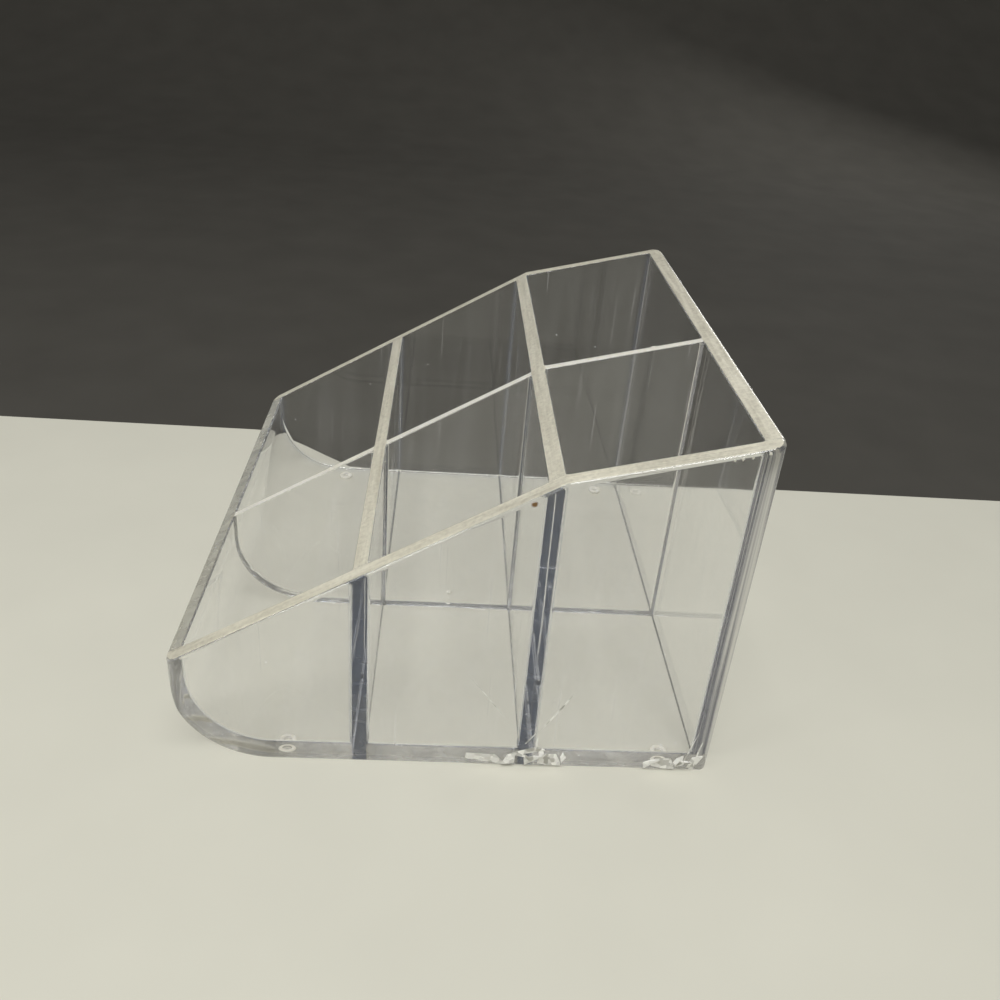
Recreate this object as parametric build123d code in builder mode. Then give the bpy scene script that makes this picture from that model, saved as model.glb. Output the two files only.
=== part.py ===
"""Clear slanted makeup organizer with six open compartments, made of bonded acrylic sheet.

Two side panels stand on either side of a sheet that is bent into front wall and floor. A back panel and
two cross dividers stand on the floor between the sides, and a lengthwise divider crosses them in half laps.
X runs from side to side, Y from front to back and Z up. The origin is on the table, under the middle.
Lengths are in millimetres.
"""
import os

from build123d import *

# Sheet thicknesses
side_sheet = 5.0
back_sheet = 5.0
bent_sheet = 4.0        # front wall and floor
cross_sheet = 4.0
centre_sheet = 3.0

# Clear width of the two columns
left_column = 92.0
right_column = 66.0

# Clear depth of the rows, of which the front one starts with the bend
bend_radius = 23.0      # inside of the bend between front wall and floor
front_floor = 22.0      # flat floor between the bend and the front cross divider
middle_row = 43.5
rear_row = 46.5

# Heights along the rim
front_lip = 6.0         # straight front wall above the bend
slope_rise = 60.0       # from the front rim up to the shoulder
rear_rise = 13.0        # from the shoulder up to the back rim

# Standing outer corners, seen from above
corner_radius = 4.5

# Half laps where the centre divider crosses the cross dividers
lap_clearance = 0.1     # on each face of a sheet in its slot
lap_share = 0.5         # share of the crossing's height where the two slots meet

# Feet
foot_diameter = 5.0
foot_height = 1.0
foot_edge = 0.3         # chamfer round the underside
foot_side_inset = 3.0   # inner face of a side panel to the middle of a foot
foot_bend_gap = 3.5     # end of the bend to the middle of a front foot
foot_rear_inset = 14.0  # back face to the middle of a rear foot

# All cuts run past the faces that they open by this much
overrun = 1.0

# Widths and places along X
inner_width = left_column + centre_sheet + right_column
width = inner_width + 2 * side_sheet
inner_right = inner_width / 2
centre_left = left_column - inner_right
centre_middle = centre_left + centre_sheet / 2

# Places along Y
outer_bend_radius = bend_radius + bent_sheet
front_row = bend_radius + front_floor
rows = front_row + cross_sheet + middle_row + cross_sheet + rear_row
depth = bent_sheet + rows + back_sheet
front = -depth / 2
rear = depth / 2
front_inner = front + bent_sheet
rear_inner = rear - back_sheet
bend_end = front + outer_bend_radius
front_cross = front_inner + front_row
rear_cross = front_cross + cross_sheet + middle_row
shoulder = rear_cross + cross_sheet

# Heights above the table
base = foot_height
floor_top = base + bent_sheet
bend_top = floor_top + bend_radius
front_height = bend_top + front_lip
shoulder_height = front_height + slope_rise
rear_height = shoulder_height + rear_rise


def rim(y):
    """Height of the rim at depth y: one slope up to the shoulder, then a flatter one to the back."""
    if y <= shoulder:
        return front_height + slope_rise * (y - front) / (shoulder - front)
    return shoulder_height + rear_rise * (y - shoulder) / (rear - shoulder)


def lap_height(cross_front):
    """Height where the two slots of a crossing meet."""
    rim_height = rim(cross_front + cross_sheet / 2)
    return floor_top + lap_share * (rim_height - floor_top)


def standing_sheet(front_face, rear_face, bottom):
    """A sheet from side panel to side panel, with its top edge cut to the rim's slope."""
    with BuildSketch(Plane.YZ) as section:
        Polygon(
            (front_face, bottom),
            (rear_face, bottom),
            (rear_face, rim(rear_face)),
            (front_face, rim(front_face)),
            align=None,
        )
    extrude(section.sketch, amount=inner_right, both=True)


def round_standing_corners():
    """Trims the part in hand to the organizer's outline from above, with its rounded corners."""
    with BuildSketch(Plane.XY) as outline:
        RectangleRounded(width, depth, corner_radius)
    extrude(outline.sketch, amount=rear_height, mode=Mode.INTERSECT)


def save(part, name):
    """Labels a finished piece and writes it under its own name."""
    part.label = name
    export_step(part, f"parts/{name}.step")


os.makedirs("parts", exist_ok=True)

# Side panels: the full side outline, with the bend's curve at the lower front
for side_name, side in (("left", -1), ("right", 1)):
    with BuildPart() as side_panel:
        with BuildSketch(Plane.YZ.offset(side * inner_right)):
            with BuildLine():
                CenterArc((bend_end, base + outer_bend_radius), outer_bend_radius, 180, 90)
                Polyline(
                    (bend_end, base),
                    (rear, base),
                    (rear, rear_height),
                    (shoulder, shoulder_height),
                    (front, front_height),
                    (front, base + outer_bend_radius),
                )
            make_face()
        extrude(amount=side * side_sheet)
        round_standing_corners()
    save(side_panel.part, f"{side_name}_side_panel")

# Front wall, bend and floor: one sheet of even thickness between the side panels
with BuildPart() as front_floor_panel:
    with BuildSketch(Plane.YZ):
        with BuildLine():
            CenterArc((bend_end, base + outer_bend_radius), outer_bend_radius, 180, 90)
            Polyline((bend_end, base), (rear, base), (rear, floor_top), (bend_end, floor_top))
            CenterArc((bend_end, bend_top), bend_radius, 180, 90)
            Polyline(
                (front_inner, bend_top),
                (front_inner, rim(front_inner)),
                (front, front_height),
                (front, base + outer_bend_radius),
            )
        make_face()
    extrude(amount=inner_right, both=True)
    round_standing_corners()
save(front_floor_panel.part, "front_floor_panel")

# Back panel: stands on the floor sheet, flush with its rear edge
with BuildPart() as back_panel:
    standing_sheet(rear_inner, rear, floor_top)
    round_standing_corners()
save(back_panel.part, "back_panel")

# Centre divider: its nose follows the bend, and it is slotted from the rim down at each crossing
with BuildPart() as centre_divider:
    with BuildSketch(Plane.YZ.offset(centre_left)):
        with BuildLine():
            CenterArc((bend_end, bend_top), bend_radius, 180, 90)
            Polyline(
                (bend_end, floor_top),
                (rear_inner, floor_top),
                (rear_inner, rim(rear_inner)),
                (shoulder, shoulder_height),
                (front_inner, rim(front_inner)),
                (front_inner, bend_top),
            )
        make_face()
    extrude(amount=centre_sheet)
    with BuildSketch(Plane.YZ.offset(centre_left)):
        for cross_front in (front_cross, rear_cross):
            slot_bottom = lap_height(cross_front)
            slot_top = rim(cross_front + cross_sheet + lap_clearance) + overrun
            with Locations((cross_front + cross_sheet / 2, slot_bottom)):
                Rectangle(
                    cross_sheet + 2 * lap_clearance,
                    slot_top - slot_bottom,
                    align=(Align.CENTER, Align.MIN),
                )
    extrude(amount=centre_sheet, mode=Mode.SUBTRACT)
save(centre_divider.part, "centre_divider")

# Cross dividers: slotted from the floor up, so that their rims run unbroken from side to side
for cross_name, cross_front in (("front", front_cross), ("rear", rear_cross)):
    with BuildPart() as cross_divider:
        standing_sheet(cross_front, cross_front + cross_sheet, floor_top)
        with BuildSketch(Plane.XY.offset(floor_top)):
            with Locations((centre_middle, cross_front + cross_sheet / 2)):
                Rectangle(centre_sheet + 2 * lap_clearance, cross_sheet + 2 * overrun)
        extrude(amount=lap_height(cross_front) - floor_top, mode=Mode.SUBTRACT)
    save(cross_divider.part, f"{cross_name}_cross_divider")

# Feet: small clear pads under the floor's corners
foot_places = (
    ("front_left", -1, bend_end + foot_bend_gap),
    ("front_right", 1, bend_end + foot_bend_gap),
    ("rear_left", -1, rear - foot_rear_inset),
    ("rear_right", 1, rear - foot_rear_inset),
)
for place_name, side, foot_y in foot_places:
    with BuildPart() as foot:
        with BuildSketch(Plane.XY):
            with Locations((side * (inner_right - foot_side_inset), foot_y)):
                Circle(foot_diameter / 2)
        extrude(amount=foot_height)
        chamfer(foot.edges().group_by(Axis.Z)[0], foot_edge)
    save(foot.part, f"foot_{place_name}")
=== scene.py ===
"""Looks of a clear acrylic makeup organizer with six compartments, on a pale floor in soft studio light.

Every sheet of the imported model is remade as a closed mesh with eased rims, round bends and rounded standing
corners. Solvent welding makes acrylic joints vanish, so the faces where two sheets meet let light straight
through. X runs from side to side, Y from front to back and Z up. Lengths are in metres, unless a comment
says millimetres.
"""
import math
import random

import bmesh
import bpy
from bpy.props import FloatProperty, FloatVectorProperty, PointerProperty
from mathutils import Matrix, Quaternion, Vector


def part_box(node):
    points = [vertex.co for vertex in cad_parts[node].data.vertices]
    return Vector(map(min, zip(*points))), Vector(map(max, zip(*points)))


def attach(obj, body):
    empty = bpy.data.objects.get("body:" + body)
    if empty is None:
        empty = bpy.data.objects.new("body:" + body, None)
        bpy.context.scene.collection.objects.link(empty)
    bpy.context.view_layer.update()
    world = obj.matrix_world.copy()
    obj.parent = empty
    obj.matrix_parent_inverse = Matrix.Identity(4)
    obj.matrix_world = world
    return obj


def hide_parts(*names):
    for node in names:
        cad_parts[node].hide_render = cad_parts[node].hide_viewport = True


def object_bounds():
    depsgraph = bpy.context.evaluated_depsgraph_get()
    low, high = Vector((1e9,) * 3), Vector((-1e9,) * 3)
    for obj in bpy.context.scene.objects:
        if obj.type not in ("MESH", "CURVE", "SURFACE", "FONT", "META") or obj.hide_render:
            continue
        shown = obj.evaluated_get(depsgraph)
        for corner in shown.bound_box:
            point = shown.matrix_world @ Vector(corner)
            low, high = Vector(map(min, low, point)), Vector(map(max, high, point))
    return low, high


bl_info = {
    "name": "Clear Makeup Organizer",
    "version": (1, 0, 0),
    "blender": (4, 5, 0),
    "location": "View3D > Sidebar > Organizer",
    "description": "Builds the looks of a clear acrylic organizer with six compartments",
    "category": "Object",
}

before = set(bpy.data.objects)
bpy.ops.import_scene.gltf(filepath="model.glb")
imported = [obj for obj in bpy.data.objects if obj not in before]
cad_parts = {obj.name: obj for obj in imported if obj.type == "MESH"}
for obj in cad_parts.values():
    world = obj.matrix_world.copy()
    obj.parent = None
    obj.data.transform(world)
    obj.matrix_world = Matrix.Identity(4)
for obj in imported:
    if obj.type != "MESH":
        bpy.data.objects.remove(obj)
cad_low, cad_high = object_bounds()

# Places of the sheets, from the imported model
side_low, side_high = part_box("right_side_panel")
back_low, back_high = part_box("back_panel")
centre_low, centre_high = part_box("centre_divider")
front_cross_low, front_cross_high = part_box("front_cross_divider")
rear_cross_low, rear_cross_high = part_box("rear_cross_divider")
front = side_low.y
rear = side_high.y
front_inner = centre_low.y
rear_inner = back_low.y
inner_right = side_low.x
outer_right = side_high.x
base = side_low.z
floor_top = back_low.z
shoulder = rear_cross_high.y
bent_sheet = front_inner - front
cross_boxes = ((front_cross_low, front_cross_high), (rear_cross_low, rear_cross_high))
feet = ("foot_front_left", "foot_front_right", "foot_rear_left", "foot_rear_right")

# Open runs of the rims, between the sheets that join them
column_runs = ((-inner_right, centre_low.x), (centre_high.x, inner_right))
row_runs = (
    (front_inner, front_cross_low.y),
    (front_cross_high.y, rear_cross_low.y),
    (rear_cross_high.y, rear_inner),
)

# The rim climbs at one slope to the shoulder and at a flatter one behind it
front_slope = (rear_cross_high.z - front_cross_high.z) / (shoulder - front_cross_high.y)
rear_slope = (back_high.z - rear_cross_high.z) / (rear - shoulder)

# Steps of the arcs in the meshes
bend_steps = 32
corner_steps = 12
ease_steps = 4
fillet_steps = 6
foot_steps = 32
swing_steps = 16

# A mesh edge sharper than this stays crisp, a rim face that leans more than this belongs to a polished
# easing, and corners nearer than this become one
crisp_angle = math.radians(35)
easing_lean = math.radians(25)
merge_distance = 0.000002

# A face is welded if there is acrylic this far in front of it, and looks sideways if this share of its
# normal points along X
weld_reach = 0.000025
sideways_share = 0.9

# A fillet counts a little wider than it is, and an eased edge reaches this many radii below the rim
fillet_share = 0.97
rim_reach_share = 1.5

# Material indices of a sheet, in the order of its finishes
# The bright finish is the sanded edge painted lighter, a painted highlight on the rim of the centre divider
polished, satin, welded, scuffed, hazy, buffed, tinted, streaked, bright, milky = range(10)

# Refractive index of acrylic
acrylic_ior = 1.49

# Spacings of the patterns in the acrylic in millimetres, the same all ways or given along X, Y and Z. The
# grit of the sanded rims is finer in truth, and is drawn as coarse as it needs to show.
wave_spacing = 45
smear_spacing = 14
wipe_spacing = (5, 5, 90)
hairline_spacing = (0.6, 0.6, 35)
dust_spacing = 7
powder_spacing = 1.5
grit_spacing = 1.1
stroke_spacing = (22, 0.9, 14)
facet_spacing = 1.6
bubble_spacing = (9, 9, 9)
corner_streak_spacing = (0.6, 0.6, 150)

# Slant of the hairlines, and heights of the waves in a sheet, of the grit and of the facets in a crack
hairline_turn = [math.radians(angle) for angle in (28, -33, 15)]
wave_height = 0.0004
grit_height = 0.0001
facet_height = 0.0004

# Where the two tones of bubbles in a joint begin and end in the noise, and the same for the painted streaks
# in the rear corners
bubble_tones = (0.42, 0.58)
corner_streak_tones = (0.44, 0.6)

# Speck of dried powder on the right side panel: place, radius of the full colour, radius where it ends,
# and how far its outline wanders
powder_place = (0.0860, 0.0175, 0.0884)
powder_core = 0.0006
powder_edge = 0.0011
powder_wander = 0.001

# Pip under the middle of the floor: place, and size as a share of a foot
pip_place = (0.002, -0.0005)
pip_share = 0.3

# A millimetre in metres
millimetre = 0.001

# Crazed shards in the right side panel, in millimetres: place, tilt in degrees and half sizes
knocks = (
    (84.6, 11.6, 3.4, -9, (0.7, 6.4, 1.5)),
    (84.8, 17.6, 3.3, 24, (0.6, 2.8, 1.8)),
    (84.6, 21.2, 4.4, -35, (0.7, 2.6, 1.3)),
    (84.8, 23.6, 6.8, 14, (0.6, 4.8, 0.9)),
    (84.7, 26.6, 5.8, 60, (0.6, 1.8, 0.8)),
    (84.8, 24.8, 3.1, 8, (0.6, 2.8, 1.8)),
    (84.8, 29.8, 3.6, -6, (0.6, 3.6, 2.2)),
    (84.6, 33.0, 4.2, 70, (0.5, 1.9, 0.8)),
    (84.7, 59.2, 3.1, 12, (0.6, 2.6, 1.6)),
    (84.8, 63.0, 3.4, -10, (0.6, 3.8, 2.0)),
    (84.7, 66.4, 4.4, 30, (0.6, 2.6, 1.1)),
    (84.6, 68.4, 3.0, -8, (0.6, 2.4, 1.6)),
    (84.2, 71.4, 4.2, 66, (0.6, 3.0, 1.3)),
)

# Open cracks on the same face, given like the shards
cracks = (
    (85.42, 29.2, 21.0, 59, (0.14, 9.5, 0.26)),
    (85.42, 23.9, 12.7, 55, (0.14, 3.6, 0.24)),
    (85.42, 25.1, 10.2, 90, (0.14, 2.6, 0.20)),
    (85.45, 10.1, 26.5, -54, (0.10, 10.6, 0.11)),
    (85.38, 69.5, 10.5, 76, (0.14, 6.0, 0.22)),
    (84.70, 71.8, 7.6, 84, (0.14, 5.0, 0.26)),
)

# Corners of a shard and of a burr, and the seeds of their shapes
shard_corners = 8
shard_seeds = (7, 11, 23)
burr_corners = 9
burr_seed = 3

# Burrs on the rims, in millimetres: place across and in depth, drop below the rim, and half sizes
burrs = (
    (13.2, 37.7, 0.0, (0.4, 0.6, 0.4)),
    (12.6, 56.8, 0.0, (0.5, 1.0, 0.4)),
    (13.4, -41.0, 0.1, (0.3, 0.5, 0.3)),
    (85.2, 63.2, 1.2, (0.3, 0.4, 0.4)),
    (85.2, 65.2, 1.1, (0.3, 0.8, 0.5)),
    (85.2, 67.4, 1.2, (0.3, 0.5, 0.6)),
    (84.6, 71.5, 1.3, (0.4, 0.5, 0.4)),
    (60.0, 22.0, 0.1, (0.6, 0.3, 0.2)),
    (-35.0, -24.6, 0.1, (0.5, 0.3, 0.2)),
    (42.0, 73.5, 0.1, (0.4, 0.4, 0.2)),
)

# Pale board under the organizer: reach, height, gap between its left edge and the organizer at the front
# and at the rear, and the depths between which that gap narrows
board_reach = 0.7
board_top = -0.00002
board_front_gap = 0.0365
board_rear_gap = 0.003
swing_start = -0.093
swing_end = -0.03

# Dark felt under the board: reach, height, and radius of the sweep in which it rises on the left
felt_reach = 4.0
felt_top = -0.001
felt_sweep = 0.8

# Soft lamps: name, place, width, height and power in watts
softboxes = (
    ("key_softbox", (0.40, 0.02, 1.05), 0.5, 0.5, 7.7),
    ("front_softbox", (0.50, -0.80, 0.65), 0.28, 0.28, 2.0),
    ("edge_softbox", (-1.0, 0.58, 0.36), 0.45, 0.16, 1.6),
)

# Faces that light may pass, which are many in clear sheets and more with their joints, and the nearest
# distance that the camera sees
clear_bounces = 40
joint_bounces = 80
nearest_view = 0.01


def linear(hex_colour):
    """Linear red, green and blue of an sRGB hex colour such as #c0ffee."""
    channels = [int(hex_colour[place:place + 2], 16) / 255 for place in (1, 3, 5)]
    return [value / 12.92 if value <= 0.04045 else ((value + 0.055) / 1.055) ** 2.4 for value in channels]


def length(name, description, millimetres):
    """A size setting that is written in millimetres and kept in metres."""
    return FloatProperty(
        name=name,
        description=description,
        default=millimetres * millimetre,
        precision=6,
        unit="LENGTH",
    )


def colour(name, description, hex_colour):
    """A colour setting that is written as an sRGB hex value."""
    return FloatVectorProperty(
        name=name,
        description=description,
        default=linear(hex_colour),
        subtype="COLOR",
    )


class OrganizerSizes(bpy.types.PropertyGroup):
    """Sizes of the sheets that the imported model's boxes don't give."""

    bend_radius: length("Bend radius", "Inside of the bend between front wall and floor", 23)
    corner_radius: length("Corner radius", "Standing outer corners, seen from above", 4.5)
    outer_ease: length("Outer edge easing", "Radius on the outer edges of rim and base", 1.2)
    inner_ease: length("Inner edge easing", "Radius on the rim edges inside the compartments", 0.4)
    fillet: length("Fillet", "Radius of the cement run in the inner corners", 0.8)
    bond_line: length("Bond line", "Gap that keeps two welded faces apart", 0.02)
    foot_sink: length("Foot sink", "How far a foot is set into the floor", 0.3)
    lap_share: FloatProperty(
        name="Lap share",
        description="Share of a crossing's height where its two slots meet",
        default=0.5,
        subtype="FACTOR",
    )


class OrganizerColours(bpy.types.PropertyGroup):
    """Colours of the acrylic and of the stage."""

    acrylic: colour("Acrylic", "Faint tint of the clear sheet", "#fefefe")
    shade: colour("Shade", "What one face of the clear sheet leaves of the light on the floor", "#fefefe")
    rim_light: colour("Rim, light", "Satin rim where it is sanded most", "#f9f4e0")
    rim_dark: colour("Rim, dark", "Satin rim where it is sanded least", "#cbc5b2")
    # Painted reflection: from inside the sheet the sanded rims are painted this dark grey, for the dark that
    # they mirror there
    rim_inside_painted_reflection: colour("Rim, inside", "Satin rim seen from inside the sheet", "#3c3d3e")
    # On the rim of the centre divider this white is a painted highlight; on the feet and burrs it is their
    # own colour
    white_satin: colour("White satin", "Rings of the feet, burrs and rim of the centre divider", "#fffdf8")
    buffed: colour("Buffed edge", "Tint of the half-clear rim at the front", "#f3f0df")
    haze: colour("Haze", "Fine bubbles in a welded joint", "#dedbce")
    # Painted shade: this is the haze tone for bubbles that look away from the light
    haze_painted_shade: colour("Haze, dark", "Bubbles in a joint that look away from the light", "#c6c3b8")
    # Painted shade and painted light: the dark and light upright streaks in the standing corners at the rear
    # stand for the streaks of light and shade that the rounded corners refract
    cement: colour("Cement", "Dark lines of cement in the standing corners at the rear", "#76777f")
    corner_streak_painted_light: colour("Cement, light", "Light lines of cement between the dark ones", "#e4e2da")
    long_way: colour("Long way", "Tint of the light that comes lengthwise through a sheet", "#739ce0")
    long_way_light: colour("Long way, light", "The same tint where more light comes through", "#93b0e2")
    crazed: colour("Crazed acrylic", "Fine cracks where the sheet was knocked", "#fbfaf4")
    # Painted shade: facets in this tone stand for cracks that look away from the light
    crazed_painted_shade: colour("Crazed acrylic, dark", "Facets of cracks that look away from the light", "#a9a79d")
    powder: colour("Powder", "Speck of dried make-up", "#735633")
    floor: colour("Floor", "Pale floor under the organizer", "#d2d0c2")
    backdrop: colour("Backdrop", "Dark cloth behind the floor", "#4b4944")
    surroundings: colour("Surroundings", "What the gloss mirrors above the horizon", "#5c5d5f")
    distance: colour("Distance", "What is seen above the horizon, also through the acrylic", "#272624")
    fill_light: colour("Fill light", "Even light from all round", "#a8a8a6")


class OrganizerCamera(bpy.types.PropertyGroup):
    """Where the camera stands and looks, and its lens."""

    place: FloatVectorProperty(
        name="Camera place",
        description="Where the camera stands",
        subtype="TRANSLATION",
        default=(0.27879, -0.00676, 0.20117),
    )
    target: FloatVectorProperty(
        name="Camera target",
        description="Point in the middle of the picture",
        subtype="TRANSLATION",
        default=(0.00280, 0.01517, 0.04070),
    )
    roll: FloatProperty(
        name="Camera roll",
        description="Tilt of the camera about its view",
        subtype="ANGLE",
        default=math.radians(5.06),
    )
    lens: FloatProperty(
        name="Lens",
        description="Focal length in millimetres on a 36 mm sensor",
        default=33.8,
    )


def clamped(value, low, high):
    """A value kept between two limits."""
    return min(max(value, low), high)


def rim_slope(y):
    """Slope of the rim at depth y."""
    return front_slope if y < shoulder else rear_slope


def rim_height(y):
    """Height of the rim at depth y."""
    return rear_cross_high.z + rim_slope(y) * (y - shoulder)


def rim_normal(y):
    """Direction that the rim faces at depth y."""
    return Vector((0, -rim_slope(y), 1)).normalized()


def lap_height(cross_low, cross_high, lap_share):
    """Height where the two slots of a crossing meet."""
    middle = (cross_low.y + cross_high.y) / 2
    return floor_top + lap_share * (rim_height(middle) - floor_top)


def arc(centre, radius, start, end, steps):
    """Points of an arc in the plane, from one angle to another in degrees."""
    angles = [math.radians(start + (end - start) * step / steps) for step in range(steps + 1)]
    return [(centre[0] + radius * math.cos(angle), centre[1] + radius * math.sin(angle)) for angle in angles]


def eased(before, corner, after, radius):
    """Points of the arc that rounds a corner between its two neighbours."""
    corner = Vector(corner)
    to_before = (Vector(before) - corner).normalized()
    to_after = (Vector(after) - corner).normalized()
    half = to_before.angle(to_after) / 2
    reach = radius / math.tan(half)
    centre = corner + (to_before + to_after).normalized() * radius / math.sin(half)
    start = corner + to_before * reach - centre
    end = corner + to_after * reach - centre
    start_angle = math.degrees(math.atan2(start.y, start.x))
    end_angle = math.degrees(math.atan2(end.y, end.x))
    turn = (end_angle - start_angle + 180) % 360 - 180
    return arc(centre, radius, start_angle, start_angle + turn, ease_steps)


def tagged(points, finish):
    """Outline points with the finish of the edge that leaves them."""
    return [(across, up, finish) for across, up in points]


def rim_places(runs, ease):
    """Places along a rim, each with 1 where its edges are eased and 0 where other sheets join it."""
    places = []
    for start, end in runs:
        places += [(start, 0), (start + ease, 1), (end - ease, 1), (end, 0)]
    return places


def quarter_round(radius, steps):
    """Steps of a rounded edge, as (depth below the face, cut from the outline) from the face inwards."""
    angles = [math.pi / 2 * step / steps for step in range(steps + 1)]
    return [(radius * (1 - math.cos(angle)), radius * (1 - math.sin(angle))) for angle in angles]


def cut_at(depth, radius):
    """Cut that a rounded edge makes in the outline at a depth below the face."""
    if depth >= radius:
        return 0.0
    return radius - math.sqrt(radius ** 2 - (radius - depth) ** 2)


def row_cuts(sizes):
    """Depths where the fillets of the rows begin and end."""
    return [place for place, open_rim in rim_places(row_runs, sizes.fillet)]


def column_cuts(sizes):
    """Places across the width where the fillets of the columns begin and end."""
    return [place for place, open_rim in rim_places(column_runs, sizes.fillet)[1:-1]]


def sheet_end(sizes):
    """Half width of the sheets between the side panels."""
    return inner_right - sizes.bond_line


def bend_inside(sizes, radius_cut=0):
    """Inside of the bend, from the front wall to the floor."""
    middle = (front_inner + sizes.bend_radius, floor_top + sizes.bend_radius)
    return arc(middle, sizes.bend_radius - radius_cut, 180, 270, bend_steps)


def bend_outside(sizes, radius_cut=0):
    """Outside of the bend, from the floor to the front wall."""
    radius = sizes.bend_radius + bent_sheet
    return arc((front + radius, base + radius), radius - radius_cut, 270, 180, bend_steps)


def fillet_line(sizes, end):
    """Edge of the fillets on an upright face, from the front rim round the bend and along the floor."""
    start = front_inner + sizes.fillet
    lip = (start, rim_height(start) - sizes.inner_ease)
    return [lip] + bend_inside(sizes, sizes.fillet) + [(end, floor_top + sizes.fillet)]


def rounded_off(first, second, radius):
    """Whether a point this far from the two walls of an inner corner lies in its fillet."""
    from_centre = math.hypot(radius - first, radius - second)
    return max(first, second) < radius and from_centre > radius * fillet_share


def from_floor(point, sizes):
    """How far a point is from the inner surface of front wall, bend and floor."""
    across = point.y - front_inner - sizes.bend_radius
    up = point.z - floor_top - sizes.bend_radius
    if across < 0 and up < 0:
        return sizes.bend_radius - math.hypot(across, up)
    return point.y - front_inner if across < 0 else point.z - floor_top


def in_acrylic(point, sizes):
    """Whether a point lies in one of the sheets or in a fillet between them."""
    in_depth = front < point.y < rear
    if not (in_depth and base < point.z < rim_height(point.y) and abs(point.x) < outer_right):
        return False
    above_floor = from_floor(point, sizes)
    if above_floor < -bent_sheet:
        return False
    columns = [run for run in column_runs if run[0] < point.x < run[1]]
    rows = [run for run in row_runs if run[0] < point.y < run[1]]
    if not columns or not rows or above_floor < 0:
        return True
    from_side = min(point.x - columns[0][0], columns[0][1] - point.x)
    from_cross = rows[0][1] - point.y
    if rows[0] != row_runs[0]:
        from_cross = min(from_cross, point.y - rows[0][0])
    pairs = ((from_side, from_cross), (from_side, above_floor), (from_cross, above_floor))
    return any(rounded_off(first, second, sizes.fillet) for first, second in pairs)


def in_side_panel(point, sizes):
    """Whether a point lies in a side panel, before its edges are rounded."""
    return abs(point.x) > inner_right


def at_rim(point, sizes):
    """Whether a point is so near the rim that it lies in a sheet's own eased edge."""
    return rim_height(point.y) - point.z < rim_reach_share * sizes.outer_ease


def nowhere(point, sizes):
    """No point at all."""
    return False


def mark_welded(sheet, sizes, own):
    """Gives the faces that lie against another piece of acrylic the finish of a welded joint.

    The function own tells which points belong to the piece itself, whose rounded edges stay as they are.
    """
    for face in sheet.faces:
        place = face.calc_center_median()
        ahead = place + face.normal * weld_reach
        if not in_acrylic(ahead, sizes) or own(ahead, sizes):
            continue
        below_floor = from_floor(place, sizes) < 0
        at_side = abs(face.normal.x) > sideways_share and abs(place.x) > inner_right - weld_reach
        at_cross = any(low.y < place.y < high.y for low, high in cross_boxes)
        if place.y < front_inner + sizes.bend_radius and abs(from_floor(place, sizes)) < weld_reach:
            face.material_index = milky
        elif at_side and place.x > 0 and below_floor and not at_cross:
            face.material_index = hazy
        elif at_side and place.y > rear_inner:
            face.material_index = streaked
        else:
            face.material_index = tinted if at_side else welded


def note(mesh, name, kind, values):
    """Notes a value for each point of a mesh under a name."""
    attribute = mesh.attributes.new(name, kind, "POINT")
    field = "vector" if kind == "FLOAT_VECTOR" else "value"
    for item, value in zip(attribute.data, values):
        setattr(item, field, value)


def plain_mesh(shape, name):
    """Mesh of this name from a bmesh, which is freed."""
    mesh = bpy.data.meshes.new(name)
    shape.to_mesh(mesh)
    shape.free()
    return mesh


def add_piece(context, name, mesh, materials, nodes):
    """Puts a mesh in the scene as a piece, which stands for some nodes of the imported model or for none."""
    if "grain" not in mesh.attributes:
        note(mesh, "grain", "FLOAT_VECTOR", [corner.co for corner in mesh.vertices])
    for material in materials:
        if material.name not in mesh.materials:
            mesh.materials.append(material)
    mesh.shade_smooth()
    mesh.set_sharp_from_angle(angle=crisp_angle)
    piece = bpy.data.objects.new(name, mesh)
    context.collection.objects.link(piece)
    weighted = piece.modifiers.new("Weighted normals", "WEIGHTED_NORMAL")
    weighted.keep_sharp = True
    evaluated = piece.evaluated_get(context.evaluated_depsgraph_get())
    piece.data = bpy.data.meshes.new_from_object(evaluated)
    piece.modifiers.remove(weighted)
    if nodes:
        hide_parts(*nodes)
    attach(piece, "root")


def loft(axis, slices):
    """Closed bmesh through like outlines, one behind another along an axis, and its rings of corners."""
    sheet = bmesh.new()
    rings = []
    for place, outline in slices:
        if axis == "X":
            points = [(place, across, up) for across, up, finish in outline]
        else:
            points = [(across, place, up) for across, up, finish in outline]
        rings.append([sheet.verts.new(point) for point in points])
    finishes = [finish for across, up, finish in slices[0][1]]
    for ring, next_ring in zip(rings, rings[1:]):
        for at, finish in enumerate(finishes):
            following = (at + 1) % len(finishes)
            face = sheet.faces.new((ring[at], ring[following], next_ring[following], next_ring[at]))
            face.material_index = finish
    sheet.faces.new(rings[0])
    sheet.faces.new(rings[-1])
    return sheet, rings


def split_cap(ring, place, line):
    """Splits an end cap along a line in depth and height, between two corners of its ring."""
    points = [Vector((place, across, up)) for across, up in line]
    ends = [min(ring, key=lambda corner: (corner.co - point).length) for point in (points[0], points[-1])]
    cap = next(face for face in ends[0].link_faces if ends[1] in face.verts)
    bmesh.utils.face_split(cap, ends[0], ends[1], coords=points[1:-1])


def cut_across(sheet, axis, places):
    """Cuts the faces of a sheet along planes across an axis, and takes nothing away."""
    normal = Vector((axis == "X", axis == "Y", axis == "Z"))
    for place in places:
        parts = [*sheet.verts, *sheet.edges, *sheet.faces]
        bmesh.ops.bisect_plane(sheet, geom=parts, plane_co=normal * place, plane_no=normal)


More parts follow.
